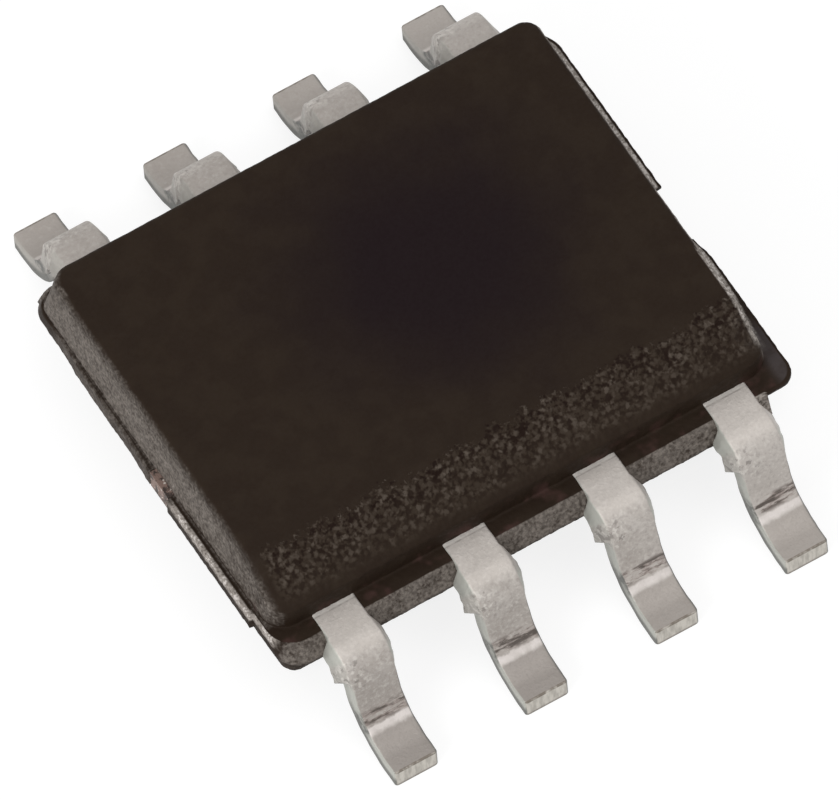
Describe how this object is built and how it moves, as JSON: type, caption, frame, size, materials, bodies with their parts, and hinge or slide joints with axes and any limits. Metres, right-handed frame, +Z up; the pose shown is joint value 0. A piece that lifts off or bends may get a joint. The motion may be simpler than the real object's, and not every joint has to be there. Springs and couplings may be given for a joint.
{
  "type": "power mosfet",
  "caption": "Surface-mount power transistor: a dark moulded block with a bevelled side and a row of gull-wing leads along each long side, for switching power on a circuit board.",
  "frame": {"origin": "on the board surface, under the middle of the package", "axes": "+Z up from the board, X along the two rows of leads, -Y towards the bevelled side with leads one to four; lead one is at -X on that side"},
  "size_m": [0.005, 0.0062, 0.0016],
  "materials": {
    "mould_compound": "dark brown-black epoxy, smooth on top and finely grained on the bevel and walls",
    "tin_plate": "matte tin plating over copper, softly mottled, with cut ends",
    "silicon": "polished silicon with an aluminium top layer",
    "solder": "dull solder",
    "bond_wire": "drawn aluminium wire"
  },
  "bodies": {
    "root": {"mould_body": "mould_compound", "drain_frame": "tin_plate", "source_frame": "tin_plate", "gate_lead": "tin_plate", "silicon_die": "silicon", "die_solder": "solder", "gate_wire": "bond_wire", "source_wire_1": "bond_wire", "source_wire_2": "bond_wire", "source_wire_3": "bond_wire", "source_wire_4": "bond_wire"}
  },
  "joints": []
}
